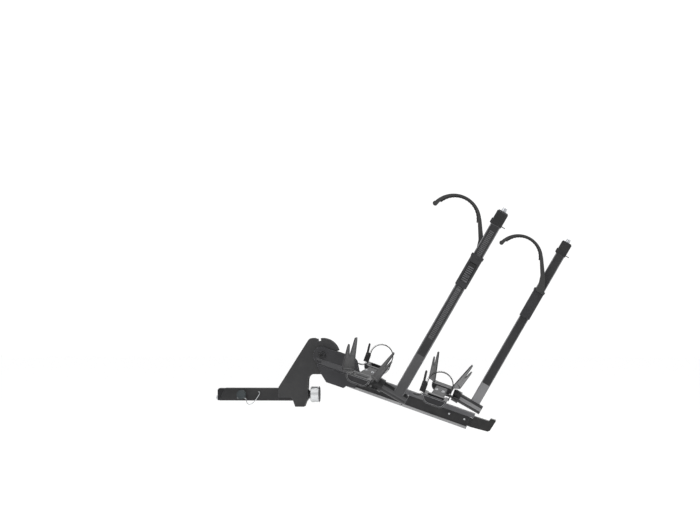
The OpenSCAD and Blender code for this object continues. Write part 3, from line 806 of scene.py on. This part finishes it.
@dataclass
class Tray(SubAssembly):
    """One wheel tray: front wheel cradle with its wings, rear channel, strap and buckle."""

    number: int
    strap_y: float = 640.0
    strap_radius: float = 50.0
    strap_centre: float = 46.0
    tail_radius: float = 26.0
    tail_height: float = 8.0
    strap_width: float = 24.0
    strap_thick: float = 3.0
    rung_pitch: float = 6.0
    rung_width: float = 17.0
    end_area: float = 1.6e-3
    end_from: float = 0.73
    end_lip: float = 0.0045
    end_depth: float = 0.0016
    wing_area: float = 6e-3
    wing_lip: float = 0.0065
    wing_depth: float = 0.0011
    grip_count: int = 22
    grip_from: float = 524.0
    grip_pitch: float = 10.0
    thumb_count: int = 5
    thumb_from: float = 60.0
    thumb_pitch: float = 4.0
    rung_height: float = 1.3
    rung_half: float = 1.3
    rung_root: float = 1.0
    place: Matrix = field(init=False)

    def __post_init__(self) -> None:
        """Finds the tray's frame from its buckle's hinge."""
        hinge = Vector(joint(f"buckle_{self.number}_lift")["pos_m"])
        up = SPINE_FRAME.to_3x3() @ Vector((0, 0, 1))
        origin = hinge + SPINE_ALONG * 60.0 * MM - up * 32.0 * MM
        self.place = frame_at((origin.x, 0.0, origin.z), SPINE_ALONG, hinge.y < 0)

    def build(self) -> None:
        """Builds and dresses every piece of the tray."""
        number = self.number
        self.soften(f"cross_tube_{number}", CROSS_PAINT, 0.8)
        self.soften(f"wheel_cradle_{number}", MOULDED_TRAY, 1.5, 3, self.panel_ends)
        self.soften(f"rear_tray_{number}", MOULDED_TRAY, 1.3, 3, self.panel_ends)
        self.soften(f"cradle_wings_{number}", MOULDED_WING, 1.4, 3, self.panel_wings)
        self.soften(f"buckle_base_{number}", MOULDED_SMALL, 0.7)
        self.soften(f"buckle_lever_{number}", MOULDED_SMALL, 0.8)
        self.soften(f"arm_socket_{number}", POWDER_DARK, 1.4, 3)
        self.build_strap()
        self.build_grips()
        self.build_thumb_ribs()

    def panel_ends(self, solid: Solid) -> None:
        """Sinks a panel into the moulding's outer end, inside a narrow lip."""
        for side in (-1, 1):
            ends = solid.facing((0, side, 0), self.end_area)
            outer = [f for f in ends if abs(f.calc_center_median().y) > self.end_from]
            if outer:
                solid.groove(outer, self.end_lip, -self.end_depth)

    def panel_wings(self, solid: Solid) -> None:
        """Sinks a paler panel into each broad face of the wings."""
        broad = [f for f in solid.bm.faces if f.calc_area() > self.wing_area]
        for face in broad:
            solid.groove([face], self.wing_lip, -self.wing_depth)
            face[solid.pale] = 1.0

    def strap_path(self) -> list[tuple[float, float]]:
        """Works out the strap's line from the anchor, over the wheel and out of the buckle."""
        radius, centre = self.strap_radius, self.strap_centre
        path = [(radius, z) for z in (-2.0, 14.0, 30.0)]
        path += [(radius * math.cos(math.radians(a)),
                  centre + radius * math.sin(math.radians(a))) for a in range(0, 181, 6)]
        path += [(-radius, z) for z in (34.0, 22.0)]
        middle = -radius - self.tail_radius
        path += [(middle + self.tail_radius * math.cos(math.radians(a)),
                  self.tail_height + self.tail_radius * math.sin(math.radians(a)))
                 for a in range(0, -114, -7)]
        return path

    def build_strap(self) -> None:
        """Builds the ladder strap: one bent band with a rung at each step."""
        path = self.strap_path()
        solid = Solid(self.place)
        half = self.strap_width / 2
        ends = [solid.bm.verts.new((path[0][0], self.strap_y + side * half, path[0][1]))
                for side in (-1, 1)]
        edge = solid.bm.edges.new(ends)
        for (x0, z0), (x1, z1) in zip(path, path[1:]):
            made = bmesh.ops.extrude_edge_only(solid.bm, edges=[edge])["geom"]
            verts = [g for g in made if isinstance(g, bmesh.types.BMVert)]
            bmesh.ops.translate(solid.bm, vec=(x1 - x0, 0.0, z1 - z0), verts=verts)
            edge = next(g for g in made if isinstance(g, bmesh.types.BMEdge)
                        and all(v in verts for v in g.verts))
        bmesh.ops.recalc_face_normals(solid.bm, faces=solid.bm.faces)
        bmesh.ops.solidify(solid.bm, geom=list(solid.bm.faces), thickness=self.strap_thick)
        low_x = max(v.co.x for v in solid.bm.verts)
        shift = self.strap_radius + self.strap_thick / 2 - low_x
        bmesh.ops.recalc_face_normals(solid.bm, faces=solid.bm.faces)
        solid.round_edges(solid.sharp_edges(50.0), 0.6)
        bmesh.ops.translate(solid.bm, vec=(shift, 0.0, 0.0), verts=solid.bm.verts)
        self.add_rungs(solid, path)
        name = f"strap_{self.number}"
        solid.finish(f"{name}_ladder", name, STRAP_NYLON, (name,))

    def add_rungs(self, solid: Solid, path: list[tuple[float, float]]) -> None:
        """Adds the ladder's rungs on the outside of the strap, one pitch apart."""
        travelled = 0.0
        due = self.rung_pitch
        half, high = self.rung_width / 2, self.rung_height + self.rung_root
        for (x0, z0), (x1, z1) in zip(path, path[1:]):
            run = Vector((x1 - x0, 0.0, z1 - z0))
            out = Vector((run.z, 0.0, -run.x)).normalized()
            lay = (Matrix.Rotation(-math.atan2(run.z, run.x), 4, "Y")
                   @ Matrix.Rotation(math.pi, 4, "X"))
            while due <= travelled + run.length:
                spot = Vector((x0, self.strap_y, z0)) + run * (due - travelled) / run.length
                foot = spot + out * (self.strap_thick / 2 - self.rung_root)
                solid.box((-self.rung_half, -half, 0.0), (self.rung_half, half, high), 0.5,
                          Matrix.Translation(foot) @ lay)
                due += self.rung_pitch
            travelled += run.length

    def build_grips(self) -> None:
        """Adds the low ribs that stop a tyre from slipping in the rear channel."""
        solid = Solid(self.place)
        for rib in range(self.grip_count):
            y = self.grip_from + rib * self.grip_pitch
            solid.box((-20.0, y - 1.6, -19.0), (20.0, y + 1.6, -16.6), 0.6)
        solid.finish(f"channel_ribs_{self.number}", f"rear_tray_{self.number}", MOULDED_TRAY)

    def build_thumb_ribs(self) -> None:
        """Adds the thumb grip's ribs on the buckle's lever."""
        solid = Solid(self.place)
        for rib in range(self.thumb_count):
            z = self.thumb_from + rib * self.thumb_pitch
            solid.box((-68.5, self.strap_y - 10.0, z), (-66.0, self.strap_y + 10.0, z + 1.8), 0.4)
        name = f"buckle_lever_{self.number}"
        solid.finish(f"{name}_ribs", name, MOULDED_SMALL)


# Arms ----------------------------------------------------------------------------------------


@dataclass
class Arm(SubAssembly):
    """One folding arm with its sliding, ratcheting wheel hook."""

    number: int
    hinge_side: float = 550.0
    outer_patch: float = 176.0
    inner_patch: float = 108.0
    outer_share: float = 0.28
    pad_ribs: int = 15
    pad_radius: float = 88.0
    rib_arc: float = 83.64
    rib_start: float = 32.0
    rib_sweep: float = 116.0
    rib_radius: float = 1.5
    rib_inset: float = 1.0
    corner_wear_and_highlight: float = 1.0
    tooth_area: float = 1.0e-4
    tooth_share: float = 0.34
    rib_area: float = 1.5e-4
    place: Matrix = field(init=False)

    def __post_init__(self) -> None:
        """Finds the arm's frame from its hinge."""
        hinge = Vector(joint(f"arm_{self.number}_fold")["pos_m"])
        self.place = frame_at(hinge, LEVEL_ALONG, hinge.y > 0)
        self.up = (self.place.to_3x3() @ Vector((0, 0, 1))).normalized()
        self.inward = (self.place.to_3x3() @ Vector((0, 1, 0))).normalized()

    def build(self) -> None:
        """Builds and dresses every piece of the arm."""
        number = self.number
        self.soften(f"arm_post_{number}", ARM_PAINT, 0.7, 2, self.mark_patches)
        self.soften(f"arm_cap_{number}", MOULDED_SMALL, 1.2, 3)
        self.soften(f"lock_plug_{number}", ZINC_PLATE, 0.6)
        self.soften(f"hook_carriage_{number}", MOULDED_COVER, 1.4, 3)
        self.soften(f"wheel_hook_{number}", HOOK_PAINT, 2.0, 3)
        self.soften(f"hook_pad_{number}", SOFT_RUBBER, 0.8)
        self.soften(f"release_lever_{number}", MOULDED_SMALL, 0.5, 2, self.mark_ribs)
        self.build_pad_ribs()

    def mark_patches(self, solid: Solid) -> None:
        """Marks the paler lower stretch of the post's inner and outer faces."""
        for height in (self.inner_patch, self.outer_patch):
            cut = self.place @ Vector((0, 0, height * MM))
            bmesh.ops.bisect_plane(solid.bm, geom=solid.bm.verts[:] + solid.bm.edges[:]
                                   + solid.bm.faces[:], plane_co=cut, plane_no=self.up,
                                   dist=1e-6)
        back = self.place.inverted()
        for face in solid.bm.faces:
            height = (back @ face.calc_center_median()).z / MM
            facing = face.normal.dot(self.inward)
            if facing > 0.95 and height < self.inner_patch:
                face[solid.pale] = 1.0
            elif facing < -0.95 and height < self.outer_patch:
                face[solid.pale] = self.outer_share
            elif facing < -0.95 and face.calc_area() < self.tooth_area:
                face[solid.pale] = self.tooth_share
            # Slanted corner faces take the pale edge colour: a painted highlight along the corners, partly rub
            # wear.
            elif 0.2 < abs(facing) < 0.95 and abs(face.normal.dot(self.up)) < 0.2:
                face[solid.edge] = self.corner_wear_and_highlight

    def mark_ribs(self, solid: Solid) -> None:
        """Marks the tops of the release paddle's ribs with the pale edge colour: rub wear and a painted highlight.
        """
        for face in solid.bm.faces:
            if face.normal.dot(self.inward) < -0.95 and face.calc_area() < self.rib_area:
                face[solid.edge] = 1.0

    def build_pad_ribs(self) -> None:
        """Adds the cross ribs of the hook's rubber lining."""
        node = f"hook_pad_{self.number}"
        back = self.place.inverted()
        points = [(back @ v.co) / MM for v in frame["nodes"][node].data.vertices]
        middle = (min(p.x for p in points) + max(p.x for p in points)) / 2
        base = max(p.z for p in points) - self.pad_radius
        low = min(p.y for p in points) + self.rib_inset
        high = max(p.y for p in points) - self.rib_inset
        solid = Solid(self.place)
        for rib in range(self.pad_ribs):
            angle = math.radians(self.rib_start + rib * self.rib_sweep / (self.pad_ribs - 1))
            x = middle + self.rib_arc * math.cos(angle)
            z = base + self.rib_arc * math.sin(angle)
            solid.rod((x, low, z), (x, high, z), self.rib_radius, sides=10)
        solid.finish(f"hook_pad_ribs_{self.number}", node, SOFT_RUBBER)


# Studio --------------------------------------------------------------------------------------


@dataclass
class Studio:
    """Pale floor, soft lights and the camera."""

    floor_drop: float = 0.42
    floor_half: float = 30.0
    camera_place: tuple[float, float, float] = (1.0505, -9.45, 0.3846)
    camera_goal: tuple[float, float, float] = (0.440, 0.0, 0.5454)
    lens: float = 119.4
    goal: tuple[float, float, float] = (0.75, 0.0, 0.35)
    horizon_light: float = 0.42
    zenith_light: float = 1.08
    backdrop_light: float = 1.06

    def build(self) -> None:
        """Builds the studio."""
        self.build_floor()
        self.build_world()
        self.add_light("key", (-3.2, -4.2, 4.6), 2.6, 130.0)
        self.add_light("fill", (4.8, -6.0, 2.2), 5.0, 30.0)
        self.add_light("top", (0.8, 0.4, 5.0), 3.0, 55.0)
        self.add_light("rim", (3.4, 4.6, 3.4), 2.0, 90.0)
        self.add_camera()

    def build_floor(self) -> None:
        """Makes the plain pale floor below the rack."""
        mesh = bpy.data.meshes.new("floor")
        shape = bmesh.new()
        bmesh.ops.create_grid(shape, x_segments=1, y_segments=1, size=self.floor_half)
        low = CAD_BOX[0][2] - self.floor_drop
        bmesh.ops.translate(shape, vec=(0.0, 0.0, low), verts=shape.verts)
        shape.to_mesh(mesh)
        shape.free()
        material = bpy.data.materials.new("pale_floor")
        material.use_nodes = True
        shader = material.node_tree.nodes["Principled BSDF"]
        shader.inputs["Base Color"].default_value = (0.93, 0.93, 0.932, 1.0)
        shader.inputs["Roughness"].default_value = 0.7
        shader.inputs["Emission Color"].default_value = (1.0, 1.0, 1.0, 1.0)
        shader.inputs["Emission Strength"].default_value = 0.10
        mesh.materials.append(material)
        floor = bpy.data.objects.new("floor", mesh)
        bpy.context.scene.collection.objects.link(floor)

    def build_world(self) -> None:
        """Sets the even pale surroundings."""
        world = bpy.data.worlds.new("studio")
        world.use_nodes = True
        wires = Wiring(world.node_tree)
        view = wires.add("ShaderNodeTexCoord").outputs["Generated"]
        height = wires.add("ShaderNodeSeparateXYZ", {"Vector": view}).outputs["Z"]
        light = wires.ramp(height, -0.15, 0.75, self.horizon_light, self.zenith_light)
        seen = wires.add("ShaderNodeLightPath").outputs["Is Camera Ray"]
        share = wires.maths("MULTIPLY", wires.maths("SUBTRACT", 1.0, seen), light)
        strength = wires.maths("MULTIPLY_ADD", seen, self.backdrop_light, share)
        shade = wires.add("ShaderNodeBackground", {
            "Color": (1.0, 1.0, 1.0, 1.0), "Strength": strength})
        wires.add("ShaderNodeOutputWorld", {"Surface": shade.outputs["Background"]})
        bpy.context.scene.world = world

    def aim(self, obj: bpy.types.Object, place: Point, goal: Point) -> None:
        """Puts an object at a place and turns it towards a goal."""
        obj.location = place
        line = Vector(goal) - Vector(place)
        obj.rotation_euler = line.to_track_quat("-Z", "Y").to_euler()
        bpy.context.scene.collection.objects.link(obj)

    def add_light(self, name: str, place: Point, size: float, power: float) -> None:
        """Adds a square soft light that faces the rack."""
        lamp = bpy.data.lights.new(name, "AREA")
        lamp.size = size
        lamp.energy = power
        self.aim(bpy.data.objects.new(name, lamp), place, self.goal)

    def add_camera(self) -> None:
        """Adds the camera at the near side of the rack."""
        lens = bpy.data.cameras.new("camera")
        lens.lens = self.lens
        lens.sensor_width = 36.0
        camera = bpy.data.objects.new("camera", lens)
        self.aim(camera, self.camera_place, self.camera_goal)
        bpy.context.scene.camera = camera


def main() -> None:
    """Builds the studio and then every sub-assembly."""
    logging.basicConfig(level=logging.INFO, format="%(message)s")
    bpy.context.scene.view_settings.view_transform = "Standard"
    Studio().build()
    for part in (Neck(), Knob(), Spine(), Tray(1), Tray(2), Arm(1), Arm(2)):
        part.build()
    bpy.context.view_layer.update()


if __name__ == "__main__":
    main()
